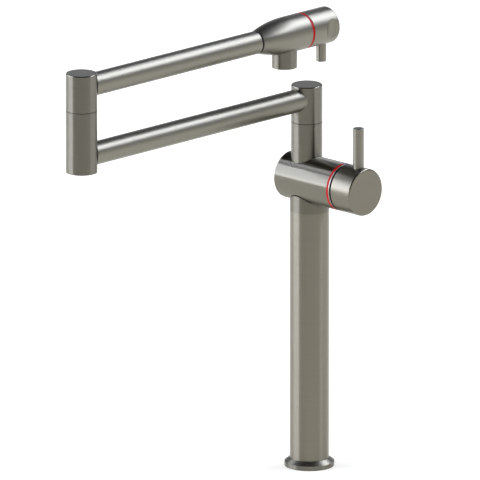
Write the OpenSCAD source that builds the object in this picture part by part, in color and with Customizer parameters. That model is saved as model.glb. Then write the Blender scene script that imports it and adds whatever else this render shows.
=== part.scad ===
// Swivel mixer tap: a deck column, a side-lever mixer body and a folding two-part spout.
// Millimetres. The origin is on the column's axis at the deck, +Z is up, the arms reach
// towards -Y and the lever's end faces +X.

/* [Base and column] */
// Outside diameter of the base flange
base_d = 51; // [49:0.5:60]
// Height of the flange's straight edge
base_edge_h = 4.7; // [3:0.1:8]
// Height of the flange's bevel
base_bevel_h = 3.8; // [2:0.1:8]
// How far the flange reaches beyond the column
flange_w = 5.5; // [5:0.1:9]
// Wall of the column tube
column_wall = 2.5; // [1.5:0.1:3]
// Height of the column, from the deck to the mixer body
column_h = 268.6; // [120:0.1:400]

/* [Mixer body] */
// Outside diameter of the cross barrel
barrel_d = 48.5; // [47.5:0.1:52]
// Height of the barrel's axis over the column
barrel_rise = 32.8; // [30:0.1:45]
// How far the barrel reaches behind the column's axis
barrel_back = 26.7; // [24:0.1:40]
// How far the barrel reaches in front of the column's axis
barrel_front = 47; // [45:0.1:52]
// Width of the red and blue marks
mark_w = 2.75; // [1.5:0.05:4]
// Width of the bright lip beyond the marks
lip_w = 1.05; // [1:0.05:3]

/* [Lever] */
// Gap between the lip and the lever knob
knob_gap = 2.3; // [1.5:0.1:3]
// Length of the lever knob
knob_l = 26.6; // [24:0.1:34]
// Diameter of the lever rod
rod_d = 11; // [9:0.1:13]
// Distance of the rod's axis from the knob's rim
rod_in = 16.1; // [15:0.1:18]
// Height of the rod's top over the barrel's axis
rod_top = 65.5; // [45:0.1:80]

/* [Arms] */
// Outside diameter of the post and the elbow
post_d = 31.8; // [30.5:0.1:34]
// How far the post's axis stands behind the column's axis
post_back = 4.1; // [0:0.1:6]
// Height of the main swivel's seam over the barrel's axis
post_rise = 59.6; // [52:0.1:80]
// Height of a swivel hub under its arm tube
hub_under = 12.05; // [11:0.05:16]
// Height of a swivel hub over its arm tube
hub_over = 3.05; // [2.5:0.05:8]
// Outside diameter of the arm tubes
arm_d = 23.5; // [20:0.1:24]
// Wall of the arm tubes
arm_wall = 2; // [1:0.1:3]
// Distance between the two swivel axes
arm_span = 323; // [200:1:420]
// How far the elbow reaches below the lower arm tube
elbow_under = 4.05; // [3.5:0.05:12]
// Height of the elbow's seam over the lower arm tube
elbow_over = 36.45; // [36:0.05:58]

/* [Spout head] */
// Outside diameter of the head
head_d = 37.4; // [36:0.1:42]
// Distance of the head's front end from the post's axis
head_reach = 73; // [70:0.5:110]
// Width of the dark ring between the tube and the head
joint_ring_w = 2.4; // [1:0.1:4]
// Length of the head's rounded taper
taper_l = 44; // [30:0.5:50]
// Length of the head in front of the red ring
head_l = 63.3; // [62:0.1:80]
// Width of the red ring
head_ring_w = 2.9; // [1.5:0.1:5]
// Length of the head's valve knob
head_knob_l = 36.1; // [34:0.1:44]
// Outside diameter of the outlet nozzle
nozzle_d = 25.7; // [25:0.1:27]
// Distance of the nozzle's axis from the head's front end
nozzle_in = 40.7; // [38:0.1:44]
// How far the nozzle reaches below the head's axis
nozzle_drop = 33.2; // [30:0.1:40]
// Diameter of the valve pin
pin_d = 10.4; // [8:0.1:12]
// Distance of the pin's axis from the knob's front
pin_in = 27.4; // [26:0.1:28]
// How far the pin reaches below the head's axis
pin_drop = 36.6; // [26:0.1:40]

/* [Water connections] */
// Radius of the tapped hose ports, for an M10 x 1 hose tail
hose_port_r = 4.5; // [4:0.1:5]
// Depth of the hose ports
hose_port_l = 12; // [10:0.5:14]
// How far a hose port stands outside its supply tube's axis
hose_port_out = 1; // [0:0.1:1.5]
// Radius of the tapped stud holes, for an M8 fixing stud
stud_hole_r = 3.4; // [2.5:0.1:3.5]
// Depth of the stud holes
stud_hole_l = 16; // [12:0.5:20]
// Wall between a stud hole and the column's inside
stud_wall = 3.1; // [2:0.1:4]

/* [Fits] */
// Radial gap of a fixed fit
fit_gap = 0.05; // [0.02:0.01:0.1]
// Radial gap of a turning fit
run_gap = 0.06; // [0.03:0.01:0.1]
// Open width of a swivel's seam
seam_w = 0.6; // [0.4:0.1:1]
// Air between moving pieces that do not touch
air = 0.3; // [0.2:0.05:0.4]

/* [Hidden] */
$fn = 96;
over = 1;
edge_r = 0.8;
fine_edge_r = 0.4;

gunmetal = [0.51, 0.50, 0.45];
bright = [0.62, 0.61, 0.56];
black_rubber = [0.07, 0.07, 0.07];
raw_brass = [0.72, 0.60, 0.36];
steel = [0.70, 0.70, 0.70];
white_ceramic = [0.92, 0.91, 0.88];
grey_plastic = [0.45, 0.46, 0.47];
signal_red = [0.78, 0.08, 0.10];
signal_blue = [0.08, 0.25, 0.70];

// Base and column
base_r = base_d / 2;
column_r = base_r - flange_w;
column_in_r = column_r - column_wall;
flange_lip = 0.55;
gasket_t = 1.5;
gasket_edge = 1.2;
gasket_w = 2.4;
plug_h = 26;
tube_r = 4;
tube_wall = 1;
tube_shift = 0.75;
tube_off = column_in_r / 2 - tube_shift;
hose_port_off = tube_off + hose_port_out;
stud_off = column_in_r - stud_wall - stud_hole_r;
passage_r = 2.8;
face_seal_t = 1.2;
plug_socket_l = 8;
spigot_l = 18;
spigot_socket_l = 9;
grub_r = 2.45;
grub_wall = 0.7;
grub_hex_r = 1.5;
grub_hex_l = 2.5;
grub_sink = 0.4;
column_grub_l = column_r - grub_sink - tube_off - tube_r - grub_wall;
base_grub_h = 15.2;
neck_grub_drop = 4.4;

// Mixer body
neck_edge_r = 0.35;
neck_groove_w = 0.8;
neck_groove_depth = 1.2;
barrel_r = barrel_d / 2;
barrel_z = column_h + barrel_rise;
mark_x = barrel_front;
lip_x = mark_x + mark_w;
rim_x = lip_x + lip_w + knob_gap;
knob_end_x = rim_x + knob_l;

// Lever cartridge, counted along the barrel from the chamber's floor
chamber_l = 39.6;
floor_x = barrel_front - chamber_l;
cartridge_share = 35 / 48.5;
cartridge_r = barrel_r * cartridge_share;
cartridge_base_t = 3;
cartridge_l = 28;
housing_wall = 2;
housing_in_r = cartridge_r - housing_wall;
housing_face_t = 2.5;
housing_neck_step = 4;
housing_neck_r = housing_in_r - housing_neck_step;
housing_neck_in_r = housing_neck_r - housing_wall;
housing_neck_l = 4;
port_r = 2.6;
port_y = tube_off;
port_z = 5;
outlet_port_z = 8.5;
seal_r = 4.2;
seal_t = 1.2;
locating_pin_r = 1.5;
locating_pin_l = 2.5;
locating_pin_in = 5;
locating_pin_y = cartridge_r - locating_pin_in;
locating_pin_z = 6.5;
disc_t = 3;
slide_disc_t = 3.4;
slide_disc_air = 3.5;
slide_disc_r = housing_in_r - slide_disc_air;
rotor_rail_space = 5.5;
slide_disc_half_w = housing_in_r - rotor_rail_space;
mix_pocket_rim = 2;
mix_pocket_r = slide_disc_half_w - mix_pocket_rim;
mix_pocket_t = 1.3;
ball_pocket_t = 1.4;
ball_r = 2.2;
ball_air = 0.15;
rotor_rail_w = 2.4;
rotor_slot_half_h = 8.2;
pivot_depth = 28;
pivot_pin_r = 1.5;
pivot_pin_air = 4.5;
pivot_pin_half_l = housing_in_r - pivot_pin_air;
spindle_r = 4;
spindle_neck_r = 1.8;
spindle_in_knob = 21;
nut_l = 7;
nut_neck_gap = 0.5;
nut_in_r = housing_neck_r + nut_neck_gap;
nut_slot_w = 4;
nut_slot_t = 2;
mark_t = 2.75;
collar_r = barrel_r - mark_t;
collar_wall = 1.6;
nut_thread_r = (cartridge_r + collar_r) / 2;
dome_wall = 1.6;
dome_hole_gap = 4;
dome_hole_r = housing_neck_r + dome_hole_gap;
lip_edge_r = 0.5;
lip_band = mark_t + collar_wall;
pivot_x = rim_x - pivot_depth;
disc_x = floor_x + cartridge_base_t;
slide_x = disc_x + disc_t;
slide_front_x = slide_x + slide_disc_t;
housing_front_x = floor_x + cartridge_l;
rotor_end_x = housing_front_x - housing_face_t - air;
rotor_r = housing_in_r - run_gap;
ball_x = slide_front_x - ball_pocket_t + ball_r + ball_air;
nut_end_x = housing_front_x + nut_l;

// Lever knob
knob_edge_r = 1.5;
knob_wall = 2;
knob_cavity_l = 8.2;
knob_in_r = barrel_r - knob_wall;
rod_r = rod_d / 2;
rod_tenon_r = 4;
rod_tenon_end = 10;
rod_x = rim_x + rod_in;
knob_grub_in = 12.3;
knob_grub_l = 6.9;
dome_r = sqrt(pivot_depth * pivot_depth + knob_in_r * knob_in_r) - air;

// Post and swivels, each with its seam at the local zero
post_r = post_d / 2;
post_x = -post_back;
main_seam_z = barrel_z + post_rise;
nipple_r = 11;
nipple_l = 8;
nipple_bore_r = 6;
post_bore_r = 8;
plug_r = 11;
plug_l = 12;
spindle_tip_h = 18.5;
swivel_r = 7.5;
swivel_bore_r = 4.2;
o_ring_r = 0.85;
o_ring_low = 4.6;
o_ring_high = 9.6;
o_ring_reach_gap = 0.03;
shoulder_h = 15;
chamber_r = 9.4;
circlip_t = 1;
circlip_lift = 0.2;
circlip_in_r = 6.8;
circlip_r = 9.1;
circlip_open_w = 7;
glide_edge = 0.9;
hub_edge_r = 1.2;
cap_edge = 1.6;
cap_t = 2;
arm_seat = 9.8;
waterway_r = 7;
elbow_bore_r = 9.4;

// Arms
arm_r = arm_d / 2;
arm_in_r = arm_r - arm_wall;
arm_groove_w = 0.7;
arm_groove_depth = 0.9;
hub_axis_h = hub_under + arm_r;
hub_h = hub_axis_h + arm_r + hub_over;
elbow_rise = arm_r + elbow_over;
elbow_drop = arm_r + elbow_under;
lower_axis_z = main_seam_z + hub_axis_h;
elbow_seam_z = lower_axis_z + elbow_rise;
elbow_h = elbow_rise + elbow_drop;
upper_axis_z = elbow_seam_z + hub_axis_h;

// Spout head, counted along +Y from the head's front end
head_r = head_d / 2;
head_y = -head_reach;
head_ring_y = head_y + head_l;
head_knob_y = head_ring_y + head_ring_w + air;
joint_ring_edge = 0.4;
head_nipple_l = 10;
head_nipple_gap = 0.05;
head_passage_r = 5;
valve_r = 11;
valve_bore_start = 27;
head_seal_t = 2;
head_seal_in_r = 6;
head_disc_t = 3;
head_disc_hole_r = 2.4;
head_disc_hole_off = 5;
valve_wall = 2;
window_start = 9;
window_l = 8.5;
window_half_w = 4;
valve_cup_l = 16.5;
valve_neck_r = 8;
valve_neck_l = 9;
stem_r = 5;
stem_head_t = 2.5;
stem_key_w = 3;
stem_key_l = 8;
stem_key_t = 1.2;
ring_collar_wall = 1;
knob_mouth_l = 10.8;
stem_in_knob = 14;
head_edge_r = 1.6;
grip_depth = 3;
grip_scoop_r = 14;
grip_in = 10.2;
head_grub_r = 2;
head_grub_l = 6;
head_grub_in = 18;
head_grub_hex_r = 1.2;
taper_sagitta = head_r - arm_r;
taper_r = (taper_l * taper_l + taper_sagitta * taper_sagitta) / (2 * taper_sagitta);

// Nozzle and pin
nozzle_r = nozzle_d / 2;
nozzle_top = 13.1;
nozzle_y = head_y + nozzle_in;
nozzle_waterway_r = 4.5;
nozzle_bore_r = 6;
nozzle_wall = 2.1;
aerator_r = nozzle_r - nozzle_wall;
aerator_l = 11.8;
aerator_sink = 0.6;
aerator_wall = 1.6;
washer_t = 1.3;
washer_w = 2.5;
screen_t = 1.6;
screen_r = aerator_r - aerator_wall - fit_gap;
screen_rim = 1.8;
screen_hole_r = 0.9;
screen_turns = 2;
screen_pitch = (screen_r - screen_rim - screen_hole_r) / screen_turns;
pin_r = pin_d / 2;
pin_tenon_r = 3.4;
pin_tenon_end = 8;
pin_y = head_knob_y + pin_in;
pin_edge_r = 0.5;

// Shared shapes

// A round bar standing on zero, with rounded rims at its foot and its top
module turned(r, h, foot = 0, top = 0) {
    rotate_extrude() intersection() {
        square([r, h]);
        union() {
            translate([0, foot]) square([r, h - foot - top]);
            square([r - foot, h - top]);
            square([r - top, h]);
            if (foot > 0) translate([r - foot, foot]) circle(r = foot);
            if (top > 0) translate([r - top, h - top]) circle(r = top);
        }
    }
}

// A straight round hole or bar from one height to another
module bar(r, from, to) {
    translate([0, 0, from]) cylinder(r = r, h = to - from);
}

// A plain ring from one height to another
module ring(r, hole_r, from, to) {
    difference() {
        bar(r, from, to);
        bar(hole_r, from - over, to + over);
    }
}

// Lays a piece that stands along +Z down along +X at the barrel's axis
module in_barrel(x = 0) {
    translate([x, 0, barrel_z]) rotate([0, 90, 0]) children();
}

// Lays a piece that stands along +Z down along +Y at the upper arm's axis
module in_head(y = 0) {
    translate([post_x, y, upper_axis_z]) rotate([-90, 0, 0]) children();
}

// A grub screw with its tip at zero and its hexagon socket facing +Z
module grub_screw(r, l, hex_r) {
    difference() {
        cylinder(r = r, h = l);
        translate([0, 0, l - grub_hex_l]) cylinder(r = hex_r, h = grub_hex_l + over, $fn = 6);
    }
}

// Base and column

module base_flange() color(gunmetal) rotate_extrude() difference() {
    polygon([
        [column_r + fit_gap, 0],
        [base_r, 0],
        [base_r, base_edge_h],
        [column_r + flange_lip, base_edge_h + base_bevel_h],
        [column_r + fit_gap, base_edge_h + base_bevel_h]
    ]);
    translate([base_r - gasket_edge - gasket_w, 0]) square([gasket_w, gasket_t]);
}

module base_gasket() color(black_rubber)
    ring(base_r - gasket_edge - fit_gap, base_r - gasket_edge - gasket_w + fit_gap, 0, gasket_t);

module at_each_supply() {
    for (side = [-1, 1]) translate([0, side * tube_off, 0]) children();
}

module at_each_column_screw() {
    for (h = [base_grub_h, column_h - neck_grub_drop])
        translate([0, column_r - grub_sink - column_grub_l, h]) rotate([-90, 0, 0]) children();
}

module base_plug() color(raw_brass) difference() {
    bar(column_in_r - fit_gap, 0, plug_h);
    for (side = [-1, 1]) {
        translate([0, side * hose_port_off, 0]) bar(hose_port_r, -over, hose_port_l);
        translate([side * stud_off, 0, 0]) bar(stud_hole_r, -over, stud_hole_l);
    }
    at_each_supply() {
        bar(passage_r, 0, plug_h);
        bar(tube_r + fit_gap, plug_h - plug_socket_l, plug_h + over);
    }
    at_each_column_screw() cylinder(r = grub_r + fit_gap, h = column_grub_l + over);
}

module column_tube() color(gunmetal) difference() {
    ring(column_r, column_in_r, 0, column_h);
    at_each_column_screw() cylinder(r = grub_r + fit_gap, h = column_grub_l + over);
}

tube_foot_z = plug_h - plug_socket_l + face_seal_t;
tube_top_z = column_h - spigot_l + spigot_socket_l - face_seal_t;

module supply_tube(side) {
    translate([0, side * tube_off, 0]) ring(tube_r, tube_r - tube_wall, tube_foot_z, tube_top_z);
}

module hot_supply_tube() color(raw_brass) supply_tube(-1);

module cold_supply_tube() color(raw_brass) supply_tube(1);

module supply_seals() color(black_rubber) at_each_supply() {
    ring(tube_r, tube_r - tube_wall, tube_foot_z - face_seal_t, tube_foot_z);
    ring(tube_r, tube_r - tube_wall, tube_top_z, tube_top_z + face_seal_t);
}

module column_grub_screws() color(steel) at_each_column_screw()
    grub_screw(grub_r, column_grub_l, grub_hex_r);

// Mixer body and its marks

// The neck under the barrel, with a fine shadow line cut where the two meet
module mixer_neck() difference() {
    translate([0, 0, column_h]) turned(column_r, barrel_rise, neck_edge_r);
    difference() {
        in_barrel(-barrel_back) bar(barrel_r + neck_groove_w, 0, barrel_back + barrel_front);
        bar(column_r - neck_groove_depth, column_h, barrel_z);
    }
}

module mixer_body() color(gunmetal) difference() {
    union() {
        in_barrel(-barrel_back) turned(barrel_r, barrel_back + barrel_front, edge_r);
        mixer_neck();
        bar(column_in_r - fit_gap, column_h - spigot_l, column_h + over);
        translate([post_x, 0, barrel_z]) bar(nipple_r, 0, barrel_r + nipple_l);
    }
    in_barrel(floor_x) {
        bar(cartridge_r + fit_gap, 0, chamber_l + over);
        bar(nut_thread_r + fit_gap, cartridge_l, chamber_l + over);
        bar(collar_r + fit_gap, cartridge_l + nut_l, chamber_l + over);
    }
    at_each_supply() {
        bar(tube_r + fit_gap, column_h - spigot_l - over, column_h - spigot_l + spigot_socket_l);
        bar(passage_r, column_h - spigot_l, barrel_z - port_z);
    }
    for (side = [-1, 1]) {
        translate([0, side * port_y, -port_z]) in_barrel() bar(port_r, 0, floor_x + over);
        translate([0, side * locating_pin_y, locating_pin_z]) in_barrel(floor_x)
            bar(locating_pin_r + fit_gap, -locating_pin_l - fit_gap, over);
    }
    translate([0, 0, outlet_port_z]) in_barrel() bar(port_r, post_x, floor_x + over);
    translate([post_x, 0, barrel_z]) bar(nipple_bore_r, outlet_port_z, barrel_r + nipple_l + over);
    at_each_column_screw() cylinder(r = grub_r + fit_gap, h = column_grub_l + over);
}

// Half of the coloured ring: side -1 is hot and faces -Y, side 1 is cold and faces +Y
module half_mark(side) intersection() {
    in_barrel() ring(barrel_r, collar_r + fit_gap, mark_x, lip_x);
    translate([mark_x - over, side > 0 ? 0 : -barrel_d, barrel_z - barrel_d])
        cube([mark_w + over + over, barrel_d, barrel_d + barrel_d]);
}

module hot_mark() color(signal_red) half_mark(-1);

module cold_mark() color(signal_blue) half_mark(1);

// The trim ring that holds the marks and covers the cartridge nut. Its dome is a sphere
// about the lever's pivot, so that the knob's skirt clears it at any tilt.
module dome_cover() color(bright) in_barrel() rotate_extrude() {
    difference() {
        union() {
            translate([collar_r - collar_wall, nut_end_x + air])
                square([collar_wall, lip_x - nut_end_x - air + over]);
            translate([collar_r - collar_wall, lip_x]) square([lip_band, lip_w - lip_edge_r]);
            translate([collar_r - collar_wall, lip_x]) square([lip_band - lip_edge_r, lip_w]);
            translate([barrel_r - lip_edge_r, lip_x + lip_w - lip_edge_r]) circle(r = lip_edge_r);
            intersection() {
                translate([0, pivot_x]) circle(r = dome_r);
                translate([0, lip_x]) square([barrel_r, dome_r]);
            }
        }
        translate([0, pivot_x]) intersection() {
            circle(r = dome_r - dome_wall);
            translate([0, lip_x + lip_w - pivot_x]) square([barrel_r, dome_r]);
        }
        translate([0, nut_end_x]) square([collar_r - collar_wall, lip_x + lip_w - nut_end_x]);
        translate([0, lip_x]) square([dome_hole_r, dome_r]);
    }
}

// Lever cartridge

module cartridge_nut() color(raw_brass) in_barrel() difference() {
    ring(nut_thread_r, nut_in_r, housing_front_x, nut_end_x);
    translate([-nut_thread_r - over, -nut_slot_w / 2, nut_end_x - nut_slot_t])
        cube([nut_thread_r + nut_thread_r + over + over, nut_slot_w, nut_slot_t + over]);
}

module cartridge_housing() color(grey_plastic) in_barrel() difference() {
    union() {
        bar(cartridge_r, disc_x, housing_front_x);
        bar(housing_neck_r, disc_x, housing_front_x + housing_neck_l);
    }
    bar(housing_in_r, disc_x - over, housing_front_x - housing_face_t);
    bar(housing_neck_in_r, disc_x, housing_front_x + housing_neck_l + over);
}

// Places a hole or seal at each of the cartridge's three ports
module at_each_port() {
    for (side = [-1, 1]) translate([0, side * port_y, -port_z]) in_barrel() children();
    translate([0, 0, outlet_port_z]) in_barrel() children();
}

module cartridge_base() color(grey_plastic) difference() {
    union() {
        in_barrel() bar(cartridge_r, floor_x, disc_x);
        for (side = [-1, 1]) translate([0, side * locating_pin_y, locating_pin_z])
            in_barrel() bar(locating_pin_r, floor_x - locating_pin_l, disc_x);
    }
    at_each_port() {
        bar(port_r, floor_x - over, disc_x + over);
        bar(seal_r + fit_gap, floor_x - over, floor_x + seal_t);
    }
}

module cartridge_seals() color(black_rubber) at_each_port()
    ring(seal_r, port_r, floor_x, floor_x + seal_t);

module fixed_disc() color(white_ceramic) difference() {
    in_barrel() bar(housing_in_r - fit_gap, disc_x, slide_x);
    at_each_port() bar(port_r, disc_x - over, slide_x + over);
}

// The disc slides up and down between the rotor's rails as the lever tilts
module sliding_disc() color(white_ceramic) difference() {
    intersection() {
        in_barrel() bar(slide_disc_r, slide_x, slide_front_x);
        translate([slide_x - over, -slide_disc_half_w, barrel_z - slide_disc_r])
            cube([slide_disc_t + over + over, slide_disc_half_w * 2, slide_disc_r * 2]);
    }
    in_barrel() {
        bar(mix_pocket_r, slide_x - over, slide_x + mix_pocket_t);
        bar(ball_r + ball_air, slide_front_x - ball_pocket_t, slide_front_x + over);
    }
}

module cartridge_rotor() color(grey_plastic) difference() {
    union() {
        in_barrel() bar(rotor_r, slide_front_x + air, rotor_end_x);
        intersection() {
            in_barrel() bar(rotor_r, slide_x + air, rotor_end_x);
            for (side = [-1, 1])
                translate([slide_x, side * (slide_disc_half_w + run_gap + rotor_rail_w / 2), barrel_z])
                    translate([0, -rotor_rail_w / 2, -slide_disc_r])
                        cube([rotor_end_x - slide_x, rotor_rail_w, slide_disc_r * 2]);
        }
    }
    translate([slide_x, -spindle_r - air, barrel_z - rotor_slot_half_h])
        cube([rotor_end_x, (spindle_r + air) * 2, rotor_slot_half_h * 2]);
    translate([pivot_x, 0, barrel_z]) rotate([-90, 0, 0])
        bar(pivot_pin_r + fit_gap, -pivot_pin_half_l - fit_gap, pivot_pin_half_l + fit_gap);
}

module pivot_pin() color(steel) translate([pivot_x, 0, barrel_z]) rotate([-90, 0, 0])
    bar(pivot_pin_r, -pivot_pin_half_l, pivot_pin_half_l);

module lever_spindle() color(steel) difference() {
    in_barrel() {
        translate([0, 0, ball_x]) sphere(r = ball_r);
        bar(spindle_neck_r, ball_x, pivot_x);
        bar(spindle_r, pivot_x - spindle_r, rim_x + spindle_in_knob);
    }
    translate([pivot_x, 0, barrel_z]) rotate([-90, 0, 0])
        bar(pivot_pin_r + run_gap, -spindle_r - over, spindle_r + over);
}

// Lever

module lever_knob() color(gunmetal) difference() {
    in_barrel(rim_x) turned(barrel_r, knob_l, fine_edge_r, knob_edge_r);
    in_barrel(rim_x) {
        bar(knob_in_r, -over, knob_cavity_l);
        bar(spindle_r + fit_gap, 0, spindle_in_knob + fit_gap);
    }
    translate([rod_x, 0, barrel_z])
        bar(rod_tenon_r + fit_gap, rod_tenon_end - fit_gap, barrel_r + over);
    translate([rim_x + knob_grub_in, 0, barrel_z - barrel_r - over])
        cylinder(r = grub_r + fit_gap, h = barrel_r + over);
}

module lever_rod() color(gunmetal) translate([rod_x, 0, barrel_z]) {
    difference() {
        turned(rod_r, rod_top, 0, fine_edge_r);
        translate([-rod_d, 0, 0]) rotate([0, 90, 0]) cylinder(r = barrel_r + fit_gap, h = rod_d * 2);
    }
    bar(rod_tenon_r, rod_tenon_end, barrel_r + over);
}

module lever_grub_screw() color(steel)
    translate([rim_x + knob_grub_in, 0, barrel_z - spindle_r - fit_gap]) rotate([180, 0, 0])
        grub_screw(grub_r, knob_grub_l, grub_hex_r);

// Swivel joint, used at the post and at the elbow, with its seam at zero

module groove(floor_r, from, to)
    ring(swivel_r + over, floor_r - fit_gap, from - fit_gap, to + fit_gap);

module swivel_spigot() difference() {
    union() {
        bar(plug_r, -seam_w / 2 - plug_l, -seam_w / 2);
        bar(swivel_r, -seam_w, spindle_tip_h);
    }
    bar(swivel_bore_r, -seam_w - plug_l - over, spindle_tip_h + over);
    for (h = [o_ring_low, o_ring_high])
        groove(o_ring_centre_r - o_ring_r, h - o_ring_r, h + o_ring_r);
    groove(circlip_in_r, circlip_h, circlip_h + circlip_t);
}

o_ring_centre_r = swivel_r + run_gap - o_ring_reach_gap - o_ring_r;
circlip_h = shoulder_h + circlip_lift;

module swivel_o_rings() {
    for (h = [o_ring_low, o_ring_high])
        rotate_extrude() translate([o_ring_centre_r, h]) circle(r = o_ring_r);
}

module swivel_glide_ring()
    ring(post_r - glide_edge, swivel_r + air, -seam_w / 2, seam_w / 2);

module swivel_circlip() difference() {
    ring(circlip_r, circlip_in_r, circlip_h, circlip_h + circlip_t);
    translate([0, -circlip_open_w / 2, 0]) cube([post_r, circlip_open_w, hub_h]);
}

// The hub turns on the spigot and carries an arm tube that leaves towards -Y
module swivel_hub() difference() {
    translate([0, 0, seam_w / 2]) turned(post_r, hub_h - seam_w / 2, 0, hub_edge_r);
    bar(swivel_r + run_gap, 0, shoulder_h);
    bar(chamber_r, shoulder_h, hub_h);
    bar(post_r - cap_edge, hub_h - cap_t, hub_h + over);
    arm_socket(hub_axis_h);
}

// Where an arm tube enters, with the water's way to the middle
module arm_socket(h) translate([0, 0, h]) rotate([90, 0, 0]) {
    bar(arm_r + fit_gap, arm_seat, post_d);
    bar(waterway_r, 0, post_d);
}

// The fine shadow line round an arm tube, where it leaves the round face of its hub
module arm_groove() difference() {
    ring(post_r + arm_groove_w, post_r, -post_r, post_r);
    rotate([90, 0, 0]) bar(arm_r - arm_groove_depth, -post_d, post_d);
}

module swivel_hub_cap() translate([0, 0, hub_h - cap_t])
    cylinder(r = post_r - cap_edge - fit_gap, h = cap_t);

module at_post() translate([post_x, 0, main_seam_z]) children();

module at_elbow() translate([post_x, -arm_span, elbow_seam_z]) children();

// Post and main swivel

module post_sleeve() color(gunmetal) difference() {
    translate([post_x, 0, 0]) bar(post_r, barrel_z, main_seam_z - seam_w / 2);
    translate([post_x - post_d, 0, barrel_z]) rotate([0, 90, 0])
        cylinder(r = barrel_r + fit_gap, h = post_d * 2);
    translate([post_x, 0, 0]) {
        bar(post_bore_r, barrel_z, main_seam_z);
        bar(nipple_r + fit_gap, barrel_z, barrel_z + barrel_r + nipple_l + fit_gap);
        bar(plug_r + fit_gap, main_seam_z - seam_w / 2 - plug_l, main_seam_z);
    }
}

module post_spigot() color(raw_brass) at_post() swivel_spigot();

module post_o_rings() color(black_rubber) at_post() swivel_o_rings();

module post_glide_ring() color(black_rubber) at_post() swivel_glide_ring();

module post_circlip() color(steel) at_post() swivel_circlip();

// Lower arm and elbow

module lower_hub() color(gunmetal) at_post() swivel_hub();

module lower_hub_cap() color(gunmetal) at_post() swivel_hub_cap();

module lower_arm_tube() color(gunmetal) translate([post_x, 0, lower_axis_z]) difference() {
    rotate([90, 0, 0]) ring(arm_r, arm_in_r, arm_seat, arm_span - arm_seat);
    arm_groove();
    translate([0, -arm_span, 0]) arm_groove();
}

module elbow_body() color(gunmetal) at_elbow() difference() {
    translate([0, 0, -elbow_h]) turned(post_r, elbow_h - seam_w / 2, hub_edge_r);
    bar(elbow_bore_r, -elbow_h, 0);
    bar(plug_r + fit_gap, -seam_w / 2 - plug_l, 0);
    bar(post_r - cap_edge, -elbow_h - over, cap_t - elbow_h);
    mirror([0, 1, 0]) arm_socket(-elbow_rise);
}

module elbow_bottom_cap() color(gunmetal) at_elbow() translate([0, 0, -elbow_h])
    cylinder(r = post_r - cap_edge - fit_gap, h = cap_t);

module elbow_spigot() color(raw_brass) at_elbow() swivel_spigot();

module elbow_o_rings() color(black_rubber) at_elbow() swivel_o_rings();

module elbow_glide_ring() color(black_rubber) at_elbow() swivel_glide_ring();

module elbow_circlip() color(steel) at_elbow() swivel_circlip();

// Upper arm

module upper_hub() color(gunmetal) at_elbow() mirror([0, 1, 0]) swivel_hub();

module upper_hub_cap() color(gunmetal) at_elbow() swivel_hub_cap();

module upper_arm_tube() color(gunmetal) difference() {
    in_head() ring(arm_r, arm_in_r, arm_seat - arm_span, head_y - joint_ring_w);
    translate([post_x, -arm_span, upper_axis_z]) arm_groove();
}

module head_joint_ring() color(black_rubber) in_head()
    ring(arm_r - joint_ring_edge, arm_in_r, head_y - joint_ring_w, head_y);

// Spout head: a rounded taper, then a straight body with the valve's bore in its rear
module spout_head() color(gunmetal) difference() {
    in_head() {
        rotate_extrude() {
            intersection() {
                translate([head_r - taper_r, head_y + taper_l]) circle(r = taper_r);
                translate([0, head_y]) square([head_r, taper_l]);
            }
            translate([0, head_y + taper_l]) square([head_r, head_l - taper_l]);
        }
        bar(valve_r + fit_gap + ring_collar_wall, head_y + taper_l, head_ring_y + head_ring_w);
        bar(arm_in_r - head_nipple_gap, head_y - joint_ring_w - head_nipple_l, head_y + taper_l);
    }
    in_head() {
        bar(head_passage_r, head_y - joint_ring_w - head_nipple_l - over, head_y + valve_bore_start);
        bar(valve_r + fit_gap, head_y + valve_bore_start, head_ring_y + head_ring_w + over);
    }
    translate([post_x, nozzle_y, upper_axis_z]) {
        bar(nozzle_r + fit_gap, -nozzle_drop, -nozzle_top);
        bar(nozzle_waterway_r, -nozzle_top - over, 0);
    }
}

module head_indicator_ring() color(signal_red) in_head()
    ring(head_r, valve_r + fit_gap + ring_collar_wall + fit_gap, head_ring_y, head_ring_y + head_ring_w);

// Valve in the head, counted along +Y from the bottom of its bore
valve_y = head_y + valve_bore_start;
valve_disc_y = valve_y + head_seal_t;
valve_stem_y = valve_disc_y + head_disc_t * 2;
valve_cup_y = valve_disc_y + valve_cup_l;
valve_end_y = head_ring_y + head_ring_w + air + valve_neck_l;
valve_in_r = valve_r - valve_wall;

module head_valve_housing() color(raw_brass) difference() {
    in_head() {
        bar(valve_r, valve_disc_y, head_ring_y + head_ring_w);
        bar(valve_neck_r, valve_cup_y, valve_end_y);
    }
    in_head() {
        bar(valve_in_r, valve_disc_y - over, valve_cup_y);
        bar(stem_r + run_gap, valve_cup_y - over, valve_end_y + over);
    }
    translate([post_x - window_half_w, valve_disc_y + window_start, upper_axis_z - valve_r - over])
        cube([window_half_w * 2, window_l - over, valve_r]);
}

module head_valve_seal() color(black_rubber) in_head()
    ring(valve_in_r, head_seal_in_r, valve_y, valve_disc_y);

// A ceramic disc with its two holes along the given direction
module valve_disc(y, turn) {
    in_head(y) rotate([0, 0, turn]) difference() {
        cylinder(r = valve_in_r - air, h = head_disc_t);
        for (side = [-1, 1]) translate([side * head_disc_hole_off, 0, -over])
            cylinder(r = head_disc_hole_r, h = head_disc_t + over + over);
    }
}

module head_fixed_disc() color(white_ceramic) valve_disc(valve_disc_y, 90);

module stem_key(y, w, l, t) in_head(y) translate([-w / 2, -l / 2, 0]) cube([w, l, t]);

module head_turning_disc() color(white_ceramic) difference() {
    valve_disc(valve_disc_y + head_disc_t, 0);
    stem_key(valve_stem_y - stem_key_t, stem_key_w + fit_gap * 2, stem_key_l + fit_gap * 2,
        over + stem_key_t);
}

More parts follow.
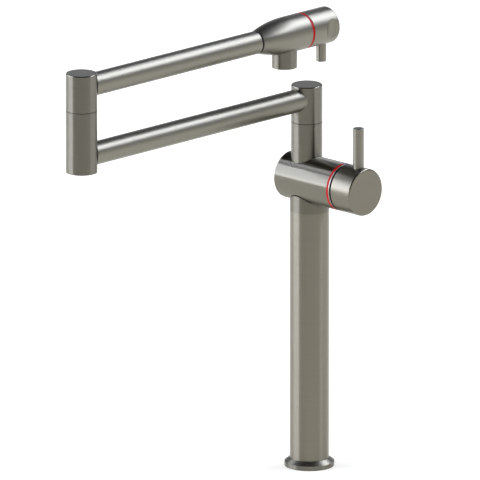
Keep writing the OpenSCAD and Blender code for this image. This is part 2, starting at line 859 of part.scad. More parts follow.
module head_valve_stem() color(raw_brass) {
    stem_key(valve_stem_y - stem_key_t + fit_gap, stem_key_w, stem_key_l, stem_key_t + stem_head_t);
    in_head() {
        bar(valve_in_r - air, valve_stem_y, valve_stem_y + stem_head_t);
        bar(stem_r, valve_stem_y, valve_end_y + air + stem_in_knob);
    }
}

module head_knob() color(gunmetal) difference() {
    in_head(head_knob_y) turned(head_r, head_knob_l, fine_edge_r, head_edge_r);
    in_head(head_knob_y) bar(valve_neck_r + air, -over, knob_mouth_l);
    in_head() bar(stem_r + fit_gap, head_knob_y, valve_end_y + air + stem_in_knob + fit_gap);
    grip_cut();
    translate([post_x, pin_y, upper_axis_z])
        bar(pin_tenon_r + fit_gap, -head_r - over, fit_gap - pin_tenon_end);
    translate([post_x, head_knob_y + head_grub_in, upper_axis_z]) rotate([0, -90, 0])
        cylinder(r = head_grub_r + fit_gap, h = head_r + over);
}

// The finger grip on the knob's +X side: a scoop, milled with a wide round cutter that stands upright
module grip_cut()
    translate([post_x + head_r - grip_depth + grip_scoop_r, head_knob_y + head_knob_l - grip_in,
               upper_axis_z])
        cylinder(r = grip_scoop_r, h = head_d, center = true);

module head_pin() color(gunmetal) translate([post_x, pin_y, upper_axis_z]) {
    difference() {
        translate([0, 0, -pin_drop]) turned(pin_r, pin_drop, pin_edge_r);
        translate([0, pin_d, 0]) rotate([90, 0, 0]) cylinder(r = head_r + fit_gap, h = pin_d * 2);
    }
    bar(pin_tenon_r, -head_r - over, -pin_tenon_end);
}

module head_grub_screw() color(steel)
    translate([post_x - stem_r - fit_gap, head_knob_y + head_grub_in, upper_axis_z]) rotate([0, -90, 0])
        grub_screw(head_grub_r, head_grub_l, head_grub_hex_r);

// Nozzle and aerator

module at_nozzle() translate([post_x, nozzle_y, upper_axis_z - nozzle_drop]) children();

aerator_top = aerator_sink + aerator_l;

module outlet_nozzle() color(gunmetal) at_nozzle() difference() {
    turned(nozzle_r, nozzle_drop - nozzle_top, edge_r);
    bar(aerator_r + fit_gap, -over, aerator_top + washer_t);
    bar(nozzle_bore_r, 0, nozzle_drop);
}

module nozzle_washer() color(black_rubber) at_nozzle()
    ring(aerator_r - fit_gap, aerator_r - fit_gap - washer_w, aerator_top, aerator_top + washer_t);

module aerator_housing() color(grey_plastic) at_nozzle() difference() {
    bar(aerator_r, aerator_sink, aerator_top);
    bar(aerator_r - aerator_wall - aerator_wall, aerator_sink - over, aerator_top + over);
    bar(aerator_r - aerator_wall, aerator_sink + aerator_wall, aerator_top + over);
}

module aerator_screen() color(white_ceramic) at_nozzle() difference() {
    translate([0, 0, aerator_sink + aerator_wall])
        cylinder(r = screen_r, h = screen_t);
    bar(screen_hole_r, 0, aerator_top);
    for (turn = [1:screen_turns]) for (k = [1:6 * turn])
        rotate([0, 0, k * 360 / (6 * turn)]) translate([turn * screen_pitch, 0, 0])
            bar(screen_hole_r, 0, aerator_top);
}

base_flange();
base_gasket();
base_plug();
column_tube();
hot_supply_tube();
cold_supply_tube();
supply_seals();
column_grub_screws();
mixer_body();
hot_mark();
cold_mark();
dome_cover();
cartridge_nut();
cartridge_housing();
cartridge_base();
cartridge_seals();
fixed_disc();
sliding_disc();
cartridge_rotor();
pivot_pin();
lever_spindle();
lever_knob();
lever_rod();
lever_grub_screw();
post_sleeve();
post_spigot();
post_o_rings();
post_glide_ring();
post_circlip();
lower_hub();
lower_hub_cap();
lower_arm_tube();
elbow_body();
elbow_bottom_cap();
elbow_spigot();
elbow_o_rings();
elbow_glide_ring();
elbow_circlip();
upper_hub();
upper_hub_cap();
upper_arm_tube();
head_joint_ring();
spout_head();
head_indicator_ring();
head_valve_housing();
head_valve_seal();
head_fixed_disc();
head_turning_disc();
head_valve_stem();
head_knob();
head_pin();
head_grub_screw();
outlet_nozzle();
nozzle_washer();
aerator_housing();
aerator_screen();
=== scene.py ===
# %% [markdown]
# # Swivel mixer tap
#
# A tall kitchen tap made of turned and brushed steel with a gunmetal coating: a round column, a
# side-lever mixer body, and a folding spout of two tubes that ends in a head with its own valve.
# The shapes come from the imported CAD model. This lesson gives each of them its finish, stands the
# tap on a pale studio floor, lights it with three softboxes and looks at it as a catalogue photo does.
#
# The first cell loads the CAD frame. Lengths are in metres from here on, so a helper turns
# millimetres into metres where a size is easier to read that way.

import math

import bpy
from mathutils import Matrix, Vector


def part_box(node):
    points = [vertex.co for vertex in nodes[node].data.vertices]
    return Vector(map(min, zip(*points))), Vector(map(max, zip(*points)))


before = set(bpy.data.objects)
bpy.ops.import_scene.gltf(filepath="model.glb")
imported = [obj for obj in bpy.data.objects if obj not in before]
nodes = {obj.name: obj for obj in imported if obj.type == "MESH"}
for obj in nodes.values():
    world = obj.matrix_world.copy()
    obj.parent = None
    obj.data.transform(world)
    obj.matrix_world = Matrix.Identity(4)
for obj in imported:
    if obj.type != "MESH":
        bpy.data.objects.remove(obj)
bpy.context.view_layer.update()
MM = 0.001
print("loaded", len(nodes), "nodes")

# %% [markdown]
# ## Colours and nodes
#
# Colours are easiest to pick and to compare as the hex values of a paint chart. Blender's shaders
# work in linear light, so one function turns a hex value into linear numbers.
#
# Materials are built from nodes. One small function adds a node, sets its fields and plugs its
# inputs, so that each material below reads like a recipe: an input that is given another node's
# output is linked, and any other input is set as a plain value. A second function starts a material
# and a third gives it to pieces of the tap.

# %% Helpers for colours and nodes
SRGB_KNEE, SRGB_SLOPE, SRGB_OFFSET, SRGB_GAMMA = 0.04045, 12.92, 0.055, 2.4


def linear(hex_text):
    """Turns an sRGB hex colour into linear RGBA."""
    out = []
    for i in (0, 2, 4):
        c = int(hex_text[i:i + 2], 16) / 255
        curved = ((c + SRGB_OFFSET) / (1 + SRGB_OFFSET)) ** SRGB_GAMMA
        out.append(c / SRGB_SLOPE if c <= SRGB_KNEE else curved)
    return (*out, 1.0)


def add(tree, kind, fields=None, **inputs):
    """Adds a node. fields are its settings, inputs are its sockets by name or by number (i0, i1)."""
    node = tree.nodes.new(kind)
    for key, value in (fields or {}).items():
        setattr(node, key, value)
    for key, value in inputs.items():
        socket = node.inputs[int(key[1:])] if key[1:].isdigit() else node.inputs[key.replace("_", " ")]
        if isinstance(value, bpy.types.NodeSocket):
            tree.links.new(value, socket)
        else:
            socket.default_value = value
    return node


def new_material(name):
    """Makes an empty node material and returns it with its tree."""
    material = bpy.data.materials.new(name)
    material.use_nodes = True
    material.node_tree.nodes.clear()
    return material, material.node_tree


def dress(material, *names):
    """Gives a material to CAD nodes, by their names."""
    for name in names:
        for slot in nodes[name].material_slots:
            slot.material = material


print("hex 808080 is", round(linear("808080")[0], 3), "in linear light")

# %% [markdown]
# ## Camera
#
# The photo is taken from about 45 degrees to the side and 15 degrees above the horizon, and its edges
# don't converge, as with a very long lens from far away. So the camera stands 22.5 m off and its lens
# is as long as that needs. The frame is square and 489 mm wide at the tap, and its middle is 71 mm to
# the left of the column. The angles are the ones whose picture lies closest to the photo's.
# The camera's three directions are worked out from the two angles: `right` and `up` span the picture
# and `back` points from the tap to the camera.

# %% Camera
AZIMUTH, ELEVATION = math.radians(44.55), math.radians(15.13)
FRAME_WIDTH = 488.55 * MM
SHIFT_RIGHT, SHIFT_UP = -70.58 * MM, 228.46 * MM
DISTANCE, SENSOR = 22.5, 36.0
CLIP_START = 0.1


def towards(azimuth, elevation):
    """The direction at an azimuth, counted from -Y towards +X, and at a height above the horizon."""
    return Vector((math.sin(azimuth) * math.cos(elevation), -math.cos(azimuth) * math.cos(elevation),
                   math.sin(elevation)))


right = towards(AZIMUTH + math.pi / 2, 0)
back = towards(AZIMUTH, ELEVATION)
up = back.cross(right)
middle = right * SHIFT_RIGHT + up * SHIFT_UP

camera_data = bpy.data.cameras.new("long_lens")
camera_data.lens, camera_data.sensor_width = DISTANCE * SENSOR / FRAME_WIDTH, SENSOR
camera_data.clip_start, camera_data.clip_end = CLIP_START, 5 * DISTANCE
camera = bpy.data.objects.new("camera", camera_data)
camera.location = middle + back * DISTANCE
camera.rotation_euler = back.to_track_quat("Z", "Y").to_euler()
bpy.context.scene.collection.objects.link(camera)
bpy.context.scene.camera = camera
bpy.context.scene.view_settings.view_transform = "Standard"
print("camera with a lens of", round(camera_data.lens), "mm, looking at", [round(v, 4) for v in middle])

# %% [markdown]
# ## Floor
#
# The tap stands on a wide white studio floor. The floor is matt, so it shows a soft shadow at the
# foot. Lamps alone would leave it light grey, and brighter lamps would burn out the metal, so the
# floor glows a little for the camera's own rays, and for mirrored and see-through rays too, so that
# the steel shows the same white floor as the camera does.

# %% Floor
FLOOR_HALF = 12.0
FLOOR_GLOW = 0.45
FLOOR_PAINT, GLOW_COLOUR = "F3EFDF", "FFFFFF"

floor_mesh = bpy.data.meshes.new("studio_floor")
corners = [(x * FLOOR_HALF, y * FLOOR_HALF, 0) for x, y in ((-1, -1), (1, -1), (1, 1), (-1, 1))]
floor_mesh.from_pydata(corners, [], [(0, 1, 2, 3)])
floor = bpy.data.objects.new("studio_floor", floor_mesh)
bpy.context.scene.collection.objects.link(floor)

material, tree = new_material("matt_white_studio_floor")
path = add(tree, "ShaderNodeLightPath").outputs
seen = path["Is Camera Ray"]
for kind in ("Is Glossy Ray", "Is Transmission Ray"):
    seen = add(tree, "ShaderNodeMath", {"operation": "MAXIMUM"}, i0=seen, i1=path[kind]).outputs[0]
level = add(tree, "ShaderNodeMath", {"operation": "MULTIPLY"}, i0=seen, i1=FLOOR_GLOW)
matt = add(tree, "ShaderNodeBsdfDiffuse", Color=linear(FLOOR_PAINT))
glow = add(tree, "ShaderNodeEmission", Color=linear(GLOW_COLOUR), Strength=level.outputs[0])
both = add(tree, "ShaderNodeAddShader", i0=matt.outputs[0], i1=glow.outputs[0])
add(tree, "ShaderNodeOutputMaterial", i0=both.outputs[0])
floor_mesh.materials.append(material)
print("floor", 2 * FLOOR_HALF, "m wide with a glow of", FLOOR_GLOW)

# %% [markdown]
# ## Softboxes
#
# Steel shows its surroundings, so the lamps stand where the photo's steel mirrors them:
#
# - A long low softbox high behind the tap, a little to the right. It draws the bright band along the
#   tops of both arms and over the head.
# - A large one in front to the left. It lights the left flank of the column and the front of the mixer
#   body. Its upright right edge is the sharp line down the column, and its foot is the sharp line
#   along the mixer body.
# - A narrow strip at the far left, which adds the thin second line on top of the mixer body.
#
# All three are slightly blue, as daylight lamps are beside a warm grey metal. A lamp's power follows
# from how bright its face should look, with white as 1: that brightness times pi times its area.

# %% Softboxes
DAYLIGHT = "E6ECFF"
TAP = Vector((0, -0.12, 0.3))
AWAY = 4.0
BEHIND_AZIMUTH, BEHIND_ELEVATION, BEHIND_SHIFT = math.radians(162), math.radians(45), 0.5
WALL_Y, WALL_RIGHT, WALL_LEFT, WALL_FOOT, WALL_TOP = -4.0, -1.5, -8.0, 0.2, 5.3
STRIP_PLACE, STRIP_FACING = Vector((-3.8, -0.6, 2.5)), Vector((0.85, 0.1, -0.5))

behind = towards(BEHIND_AZIMUTH, BEHIND_ELEVATION)
wall_middle = Vector(((WALL_RIGHT + WALL_LEFT) / 2, WALL_Y, (WALL_FOOT + WALL_TOP) / 2))
SOFTBOXES = {
    # name: middle, facing, width, height, brightness of the face
    "softbox_behind": (TAP + behind * AWAY + Vector((BEHIND_SHIFT, 0, 0)), -behind, 4.6, 0.9, 11.5),
    "softbox_left": (wall_middle, Vector((0, 1, 0)), WALL_RIGHT - WALL_LEFT, WALL_TOP - WALL_FOOT, 6.4),
    "strip_left": (STRIP_PLACE, STRIP_FACING, 0.6, 2.0, 13.0),
}
for name, (place, facing, width, height, brightness) in SOFTBOXES.items():
    lamp = bpy.data.lights.new(name, "AREA")
    lamp.shape, lamp.size, lamp.size_y = "RECTANGLE", width, height
    lamp.color = linear(DAYLIGHT)[:3]
    lamp.energy = brightness * math.pi * width * height
    placed = bpy.data.objects.new(name, lamp)
    placed.location = place
    placed.rotation_euler = (-facing).to_track_quat("Z", "Y").to_euler()
    placed.visible_camera = False
    bpy.context.scene.collection.objects.link(placed)
    print(name, "at", [round(v, 2) for v in place], round(lamp.energy), "W")

# %% [markdown]
# ## Room
#
# The room is part of the light. It is dark overhead and in front, which gives each tube its dark
# stripes, grey at the right, and pale behind the tap. The direction that a ray leaves in decides
# which part of the room it sees, with soft steps in between. The floor's white paper is swept up all
# around, to about 9 degrees above the horizon. The photo's view doesn't reach it, but views from other
# sides then have the same white behind the tap, and the steel mirrors it like the floor.

# %% Room
DARK, GREY, MID, PALE = "1E2022", "5E6166", "85878A", "A9B0BB"
OVERHEAD = (0.65, 0.35)
SWEEP, SWEEP_TOP = "FFFFFF", (0.17, 0.14)
BEHIND = (0.35, 0.65)
LEFT = (-0.1, -0.5)
RIGHT = (0.1, 0.7)


def ramp(tree, value, start, end):
    """A smooth step from 0 at the start to 1 at the end."""
    return add(tree, "ShaderNodeMapRange", {"interpolation_type": "SMOOTHSTEP"},
               i0=value, i1=start, i2=end, i3=0.0, i4=1.0).outputs[0]


def blend(tree, share, first, second):
    """Mixes two colours: the first where the share is 0, the second where it is 1."""
    return add(tree, "ShaderNodeMix", {"data_type": "RGBA"}, i0=share, i6=first, i7=second).outputs[2]


world = bpy.data.worlds.new("studio_room")
bpy.context.scene.world = world
world.use_nodes = True
tree = world.node_tree
tree.nodes.clear()
x, y, z = add(tree, "ShaderNodeSeparateXYZ", i0=add(tree, "ShaderNodeTexCoord").outputs["Generated"]).outputs
front = blend(tree, ramp(tree, x, *RIGHT), linear(DARK), linear(MID))
rear = blend(tree, ramp(tree, x, *LEFT), linear(GREY), linear(PALE))
room = blend(tree, ramp(tree, y, *BEHIND), front, rear)
room = blend(tree, ramp(tree, z, *OVERHEAD), linear(DARK), room)
room = blend(tree, ramp(tree, z, *SWEEP_TOP), room, linear(SWEEP))
add(tree, "ShaderNodeOutputWorld", i0=add(tree, "ShaderNodeBackground", i0=room, i1=1.0).outputs[0])
print("the room is", DARK, "in front and overhead,", MID, "at the right,", GREY, "to", PALE, "behind")
print("the paper is swept up to", round(math.degrees(math.asin(SWEEP_TOP[0]))), "degrees above the horizon")

# %% [markdown]
# ## Gunmetal steel
#
# The real surface is stainless steel, turned and brushed on a lathe and then coated in a vacuum with
# a thin gunmetal layer. The eye sees three things: the warm grey of the coating, rings of very fine
# brushing around each piece, and highlights that the brushing pulls out along the piece's axis.
#
# The metal is metallic 1 with the coating's own colour and the default IOR. The brushing needs
# an anisotropic shader whose tangent runs around the piece. It is computed from the piece's own axis:
# the cross product of the axis and the way from the axis to the point is the direction that the
# brush ran in, with no UV map. Each piece has its own axis, so a function makes this for an axis.
#
# How far the surface faces along the axis tells three kinds of face apart, from 0 on a tube's side to
# 1 on its flat end. A flat end is rubbed straight, so there the tangent is one fixed direction across
# the face. A rounded rim or a bevel lies between the two. It is polished before the coating, so it
# mirrors more sharply and evenly, which draws a crisp dark line along each rim.
#
# Real brush lines are about 0.05 mm apart, which is far too fine to show here, so they are drawn
# 0.9 mm apart and 45 mm long, as bump and as a slight change in roughness and colour.

# %% The brushed metal shader
BRUSH_PITCH = 0.9 * MM
BRUSH_LENGTH = 45 * MM
BRUSH_DEPTH = 0.0015 * MM
RIM_START, END_FACE = 0.4, 0.9
RIM_ROUGHNESS = 0.22
LINE_DETAIL, LINE_GAIN = 4.0, 0.65
NOISE_LOW, NOISE_HIGH = 0.3, 0.7
ROUGHNESS_SPREAD = 0.015
QUARTER_TURN = 0.25
X, Y, Z = (1, 0, 0), (0, 1, 0), (0, 0, 1)


def vector_math(tree, operation, first, second):
    """Two vectors in, all of the node's outputs out."""
    return add(tree, "ShaderNodeVectorMath", {"operation": operation}, i0=first, i1=second).outputs


def around(tree, axis, point):
    """The way from the axis, the direction around it, the height along it and the distance from it."""
    arm = vector_math(tree, "SUBTRACT", add(tree, "ShaderNodeTexCoord").outputs["Object"], point)[0]
    turn = vector_math(tree, "CROSS_PRODUCT", axis, arm)[0]
    height = vector_math(tree, "DOT_PRODUCT", axis, arm)["Value"]
    radius = add(tree, "ShaderNodeVectorMath", {"operation": "LENGTH"}, i0=turn).outputs["Value"]
    return arm, turn, height, radius


def brushing(tree, axis, point, pitch, length):
    """Noise drawn out into rings around an axis, the direction that the brush ran in, and the rims."""
    arm, turn, height, radius = around(tree, axis, point)
    normal = add(tree, "ShaderNodeTexCoord").outputs["Normal"]
    facing = vector_math(tree, "DOT_PRODUCT", axis, normal)["Value"]
    facing = add(tree, "ShaderNodeMath", {"operation": "ABSOLUTE"}, i0=facing).outputs[0]
    is_end = add(tree, "ShaderNodeMath", {"operation": "GREATER_THAN"}, i0=facing, i1=END_FACE).outputs[0]
    is_rim = add(tree, "ShaderNodeMath", {"operation": "GREATER_THAN"}, i0=facing, i1=RIM_START).outputs[0]
    is_rim = add(tree, "ShaderNodeMath", {"operation": "SUBTRACT"}, i0=is_rim, i1=is_end).outputs[0]
    straight = (axis[2], axis[0], axis[1])
    turn = add(tree, "ShaderNodeMix", {"data_type": "VECTOR"}, i0=is_end, i4=turn, i5=straight).outputs[1]
    rings = add(tree, "ShaderNodeCombineXYZ", i0=height, i1=radius).outputs[0]
    rings = add(tree, "ShaderNodeVectorMath", {"operation": "SCALE"}, i0=rings, Scale=1 / pitch).outputs[0]
    drift = add(tree, "ShaderNodeVectorMath", {"operation": "SCALE"}, i0=arm, Scale=1 / length).outputs[0]
    where = vector_math(tree, "ADD", rings, drift)[0]
    lines = add(tree, "ShaderNodeTexNoise", i0=where, Scale=1.0, Detail=LINE_DETAIL, Roughness=LINE_GAIN)
    return lines.outputs[0], turn, is_rim


def choose(tree, share, first, second):
    """Mixes two numbers: the first where the share is 0, the second where it is 1."""
    return add(tree, "ShaderNodeMix", {"data_type": "FLOAT"}, i0=share, i2=first, i3=second).outputs[0]


def brushed_metal(tree, lines, turn, is_rim, tone, roughness, pulled, depth, rim=RIM_ROUGHNESS):
    """A brushed metal shader from its lines, their direction, its rims and its colour. The tangent
    turns with the piece, so that it stays true when a joint moves."""
    rough = add(tree, "ShaderNodeMapRange", i0=lines, i1=NOISE_LOW, i2=NOISE_HIGH,
                i3=roughness - ROUGHNESS_SPREAD, i4=roughness + ROUGHNESS_SPREAD).outputs[0]
    rough = choose(tree, is_rim, rough, rim)
    pulled = choose(tree, is_rim, pulled, 0.0)
    bump = add(tree, "ShaderNodeBump", i0=1.0, Distance=depth, Height=lines).outputs[0]
    fields = {"vector_type": "VECTOR", "convert_from": "OBJECT", "convert_to": "WORLD"}
    tangent = add(tree, "ShaderNodeVectorTransform", fields, i0=turn).outputs[0]
    return add(tree, "ShaderNodeBsdfPrincipled", Base_Color=tone, Metallic=1.0, Roughness=rough,
               Anisotropic=pulled, Anisotropic_Rotation=QUARTER_TURN, Tangent=tangent, Normal=bump).outputs[0]


def axis_of(name):
    """The middle of a node's box, which lies on the axis of a turned piece."""
    low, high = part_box(name)
    return tuple((a + b) / 2 for a, b in zip(low, high))


print("brush lines every", round(BRUSH_PITCH / MM, 2), "mm,", round(BRUSH_LENGTH / MM), "mm long")

# %% [markdown]
# ## Gunmetal pieces
#
# There are four tones, each with the darker and the lighter colour that the brush lines vary between.
# The two darkest are copies of the same coating painted darker as painted shade: on the post and the
# elbow under the arms, and on the flange, the nozzle and the lever knob. The photo also shows two
# main finishes.
# The upright pieces have sharp lines, so their brushing is deep and regular: a low roughness that is
# pulled out fully along the axis. The arms and the head are finished more softly, with a rougher
# highlight that isn't pulled at all. The lever and the two rods lie in between. The flange's broad
# bevel is more a face than a rim, so it is polished less than the rims are.

# %% Gunmetal pieces
PLAIN, WARM = ("7F7C70", "8B887C"), ("7C786B", "888376")
# The next two tones are painted shade: darker copies of the same coating.
PAINTED_SHADE_LEVER_TONE, PAINTED_SHADE_TONE = ("757166", "817C6F"), ("716E63", "7C796E")
DEEP, FINE, LIGHT, LEVER = (0.29, 1.0), (0.33, 0.8), (0.385, 0.0), (0.36, 0.3)
FLANGE_BEVEL = 0.36
TURNED = {
    # name: axis, piece whose middle lies on it, tone, finish, pieces
    "column": (Z, "column_tube", WARM, DEEP, ("column_tube",)),
    "flange": (Z, "base_flange", PAINTED_SHADE_TONE, DEEP, ("base_flange",)),
    "post": (Z, "lower_hub_cap", PAINTED_SHADE_TONE, DEEP, ("post_sleeve", "lower_hub")),
    "post_cap": (Z, "lower_hub_cap", PLAIN, DEEP, ("lower_hub_cap",)),
    "elbow": (Z, "upper_hub_cap", PAINTED_SHADE_TONE, DEEP, ("elbow_body", "upper_hub")),
    "elbow_caps": (Z, "upper_hub_cap", PLAIN, DEEP, ("upper_hub_cap", "elbow_bottom_cap")),
    "lower_arm": (Y, "lower_arm_tube", PLAIN, LIGHT, ("lower_arm_tube",)),
    "upper_arm": (Y, "upper_arm_tube", PLAIN, LIGHT, ("upper_arm_tube", "spout_head", "head_knob")),
    "lever": (X, "lever_knob", PAINTED_SHADE_LEVER_TONE, LEVER, ("lever_knob",)),
    "lever_rod": (Z, "lever_rod", PLAIN, FINE, ("lever_rod",)),
    "head_pin": (Z, "head_pin", PLAIN, FINE, ("head_pin",)),
    "nozzle": (Z, "outlet_nozzle", PAINTED_SHADE_TONE, DEEP, ("outlet_nozzle",)),
}
for name, (axis, centre, (dark, light), (roughness, pulled), pieces) in TURNED.items():
    material, tree = new_material("gunmetal_steel_" + name)
    lines, turn, is_rim = brushing(tree, axis, axis_of(centre), BRUSH_PITCH, BRUSH_LENGTH)
    tone = blend(tree, lines, linear(dark), linear(light))
    rim = FLANGE_BEVEL if name == "flange" else RIM_ROUGHNESS
    metal = brushed_metal(tree, lines, turn, is_rim, tone, roughness, pulled, BRUSH_DEPTH, rim)
    add(tree, "ShaderNodeOutputMaterial", i0=metal)
    dress(material, *pieces)
    print("gunmetal about", axis, "for", ", ".join(pieces))

# %% [markdown]
# ## The mixer body's two directions
#
# The mixer body is one casting with two turned parts: the cross barrel, brushed around X, and the
# short neck under it, brushed around Z like the column. The neck is painted a shade darker as painted
# shade, where it lies under the barrel. The neck's wall is exactly the column's radius away from the
# column's axis, so that distance tells the two apart.

# %% Mixer body
NECK_BAND = 0.15 * MM
# The neck's darker tone is painted shade under the barrel.
BARREL_TONE, PAINTED_SHADE_NECK_TONE = ("7A776B", "868377"), ("716E62", "7C786C")
BARREL_FINISH = (0.33, 1.0)

column_low, column_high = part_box("column_tube")
neck_radius = (column_high.x - column_low.x) / 2
material, tree = new_material("gunmetal_steel_mixer_body")
barrel_lines, barrel_turn, barrel_rim = brushing(tree, X, axis_of("lever_knob"), BRUSH_PITCH, BRUSH_LENGTH)
neck_lines, neck_turn, neck_rim = brushing(tree, Z, axis_of("column_tube"), BRUSH_PITCH, BRUSH_LENGTH)
neck_distance = around(tree, Z, axis_of("column_tube"))[3]
is_neck = add(tree, "ShaderNodeMath", {"operation": "COMPARE"},
              i0=neck_distance, i1=neck_radius, i2=NECK_BAND).outputs[0]
lines = choose(tree, is_neck, barrel_lines, neck_lines)
is_rim = choose(tree, is_neck, barrel_rim, neck_rim)
turn = add(tree, "ShaderNodeMix", {"data_type": "VECTOR"},
           i0=is_neck, i4=barrel_turn, i5=neck_turn).outputs[1]
# Painted shade: the neck gets the darker tone.
dark, light = [blend(tree, is_neck, linear(a), linear(b)) for a, b in zip(BARREL_TONE, PAINTED_SHADE_NECK_TONE)]
tone = blend(tree, lines, dark, light)
metal = brushed_metal(tree, lines, turn, is_rim, tone, *BARREL_FINISH, BRUSH_DEPTH)
add(tree, "ShaderNodeOutputMaterial", i0=metal)
dress(material, "mixer_body")
print("neck radius", round(neck_radius / MM, 2), "mm")

# %% [markdown]
# ## Brass and plain steel
#
# Inside the tap are machined brass fittings and plain steel screws, clips and pins. Only their ends
# show when the tap is seen from below or from behind, but each is a turned metal piece, so the same
# brushed shader serves them all with their own colours and coarser tool marks.

# %% Brass and plain steel
TOOL_MARK_LENGTH = 20 * MM
TOOL_MARK_DEPTH = 0.006 * MM
BRASS, STEEL, GROUND = ("B08D4E", "C6A766"), ("A9A9A6", "BBBBB8"), ("B2B2B0", "C2C2C0")
METALS = {
    # name: axis, colours, roughness, anisotropy, pitch of the marks in mm, pieces
    "machined_brass_upright": (Z, BRASS, 0.34, 0.5, 0.6, ("base_plug", "hot_supply_tube", "cold_supply_tube",
                                                          "post_spigot", "elbow_spigot")),
    "machined_brass_lever": (X, BRASS, 0.34, 0.5, 0.6, ("cartridge_nut",)),
    "machined_brass_head": (Y, BRASS, 0.34, 0.5, 0.6, ("head_valve_housing", "head_valve_stem")),
    "stainless_screws_and_clips": (Z, STEEL, 0.3, 0.3, 0.4, ("column_grub_screws", "lever_grub_screw",
                                                             "head_grub_screw", "post_circlip",
                                                             "elbow_circlip")),
    "ground_steel_pins": (X, GROUND, 0.25, 0.5, 0.4, ("pivot_pin", "lever_spindle")),
}
for name, (axis, (dark, light), roughness, pulled, pitch, pieces) in METALS.items():
    for piece in pieces:
        material, tree = new_material(name + "_" + piece)
        lines, turn, is_rim = brushing(tree, axis, axis_of(piece), pitch * MM, TOOL_MARK_LENGTH)
        tone = blend(tree, lines, linear(dark), linear(light))
        metal = brushed_metal(tree, lines, turn, is_rim, tone, roughness, pulled, TOOL_MARK_DEPTH)
        add(tree, "ShaderNodeOutputMaterial", i0=metal)
        dress(material, piece)
    print(name, "for", ", ".join(pieces))

# %% [markdown]
# ## The light lip and its dark dome
#
# The trim ring has a bare satin lip beside the coloured marks: plain steel, rougher than the coated
# pieces, so it stays a thin light grey line under the lamps. Behind the lip the ring closes the gap
# under the lever with a dome, which is painted near-black as painted shade, so that the gap looks deep
# and even. Both are one piece, so the distance from the barrel's axis tells the lip's outer skin from
# the dome. The painted black is a rough dielectric that mirrors very little.

# %% Lip and dome
LIP_SKIN = 0.1 * MM
LIP_PITCH = 0.5 * MM
LIP_TONE, LIP_ROUGHNESS, LIP_PULLED = ("8F8C83", "98958C"), 0.4, 0.5
PAINTED_SHADE_DOME_TONE, DOME_ROUGHNESS, DOME_MIRROR = ("0B0B0B", "141413"), 0.7, 0.2

cover_low, cover_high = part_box("dome_cover")
cover_radius = (cover_high.y - cover_low.y) / 2
material, tree = new_material("satin_lip_and_painted_shade_dome")
lines, turn, is_rim = brushing(tree, X, axis_of("dome_cover"), LIP_PITCH, TOOL_MARK_LENGTH)
lip_tone, painted_shade_dome_tone = [blend(tree, lines, linear(a), linear(b)) for a, b in (LIP_TONE, PAINTED_SHADE_DOME_TONE)]
lip = brushed_metal(tree, lines, turn, is_rim, lip_tone, LIP_ROUGHNESS, LIP_PULLED, TOOL_MARK_DEPTH,
                    LIP_ROUGHNESS)
# The dome's near-black is painted shade for the deep gap under the lever.
dome = add(tree, "ShaderNodeBsdfPrincipled", Base_Color=painted_shade_dome_tone, Roughness=DOME_ROUGHNESS,
           Specular_IOR_Level=DOME_MIRROR).outputs[0]
is_lip = add(tree, "ShaderNodeMath", {"operation": "GREATER_THAN"},
             i0=around(tree, X, axis_of("dome_cover"))[3], i1=cover_radius - LIP_SKIN).outputs[0]
both = add(tree, "ShaderNodeMixShader", i0=is_lip, i1=dome, i2=lip).outputs[0]
add(tree, "ShaderNodeOutputMaterial", i0=both)
dress(material, "dome_cover")
print("lip radius", round(cover_radius / MM, 2), "mm")

# %% [markdown]
# ## Enamel, rubber, plastic and ceramic
#
# The hot and cold marks and the ring on the head are brass rings with a baked satin enamel: a deep
# even colour with a soft sheen, so the roughness is about a half and the surface mirrors little. The
# seals are black rubber with a dry bloom, the glide rings are black acetal with a satin turned face,
# the cartridge is moulded grey plastic, and the valve discs are lapped alumina, white and slightly
# glossy. Each is a dielectric: metallic 0, IOR about 1.5, and 1.77 for alumina. Fine noise varies the
# colour and the roughness, because no real surface is even.

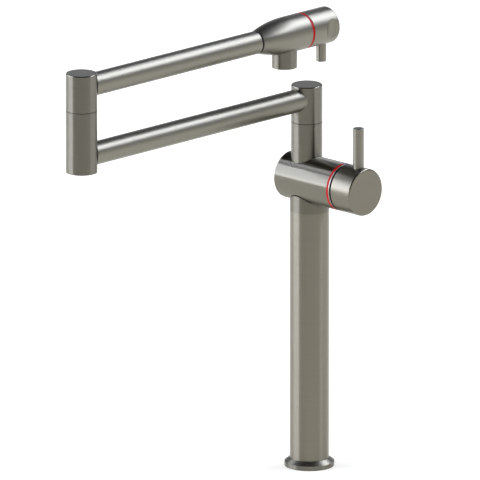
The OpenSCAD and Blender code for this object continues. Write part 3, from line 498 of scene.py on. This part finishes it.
# %% Enamel, rubber, plastic and ceramic
BUMP_SHARE = 0.6
CLOUD_DETAIL, CLOUD_GAIN = 3.0, 0.6
DIELECTRICS = {
    # name: dark, light, roughness, its spread, IOR, specular level, grain in mm, depth in mm, pieces
    "baked_red_enamel": ("C00006", "CE030B", 0.5, 0.04, 1.5, 0.2, 1.2, 0.004,
                         ("hot_mark", "head_indicator_ring")),
    "baked_blue_enamel": ("173E96", "1D48A8", 0.5, 0.04, 1.5, 0.2, 1.2, 0.004, ("cold_mark",)),
    "black_seal_rubber": ("080808", "121211", 0.7, 0.1, 1.52, 0.25, 0.8, 0.02,
                          ("base_gasket", "supply_seals", "cartridge_seals", "post_o_rings",
                           "elbow_o_rings", "head_joint_ring", "head_valve_seal", "nozzle_washer")),
    "black_turned_acetal": ("121212", "1C1C1C", 0.42, 0.06, 1.48, 0.5, 0.6, 0.01,
                            ("post_glide_ring", "elbow_glide_ring")),
    "grey_moulded_acetal": ("6B6D6F", "7C7E80", 0.45, 0.08, 1.48, 0.5, 0.9, 0.01,
                            ("cartridge_housing", "cartridge_base", "cartridge_rotor", "aerator_housing",
                             "aerator_screen")),
    "lapped_alumina": ("E4E1D8", "F2F0E9", 0.2, 0.05, 1.77, 0.5, 0.5, 0.002,
                       ("fixed_disc", "sliding_disc", "head_fixed_disc", "head_turning_disc")),
}
for name, (dark, light, roughness, spread, ior, level, grain, depth, pieces) in DIELECTRICS.items():
    material, tree = new_material(name)
    place = add(tree, "ShaderNodeTexCoord").outputs["Object"]
    cloud = add(tree, "ShaderNodeTexNoise", i0=place, Scale=1 / (grain * MM),
                Detail=CLOUD_DETAIL, Roughness=CLOUD_GAIN).outputs[0]
    rough = add(tree, "ShaderNodeMapRange", i0=cloud, i1=NOISE_LOW, i2=NOISE_HIGH,
                i3=roughness - spread, i4=roughness + spread).outputs[0]
    bump = add(tree, "ShaderNodeBump", i0=BUMP_SHARE, Distance=depth * MM, Height=cloud).outputs[0]
    shader = add(tree, "ShaderNodeBsdfPrincipled", Base_Color=blend(tree, cloud, linear(dark), linear(light)),
                 Roughness=rough, IOR=ior, Specular_IOR_Level=level, Normal=bump).outputs[0]
    add(tree, "ShaderNodeOutputMaterial", i0=shader)
    dress(material, *pieces)
    print(name, "for", ", ".join(pieces))

# %% [markdown]
# ## Last step
#
# Every node of the CAD model now has a finish of its own.

# %% Finish
bare = [name for name, piece in nodes.items()
        if any(slot.material is None or not slot.material.use_nodes for slot in piece.material_slots)]
print("nodes without a finish:", bare)
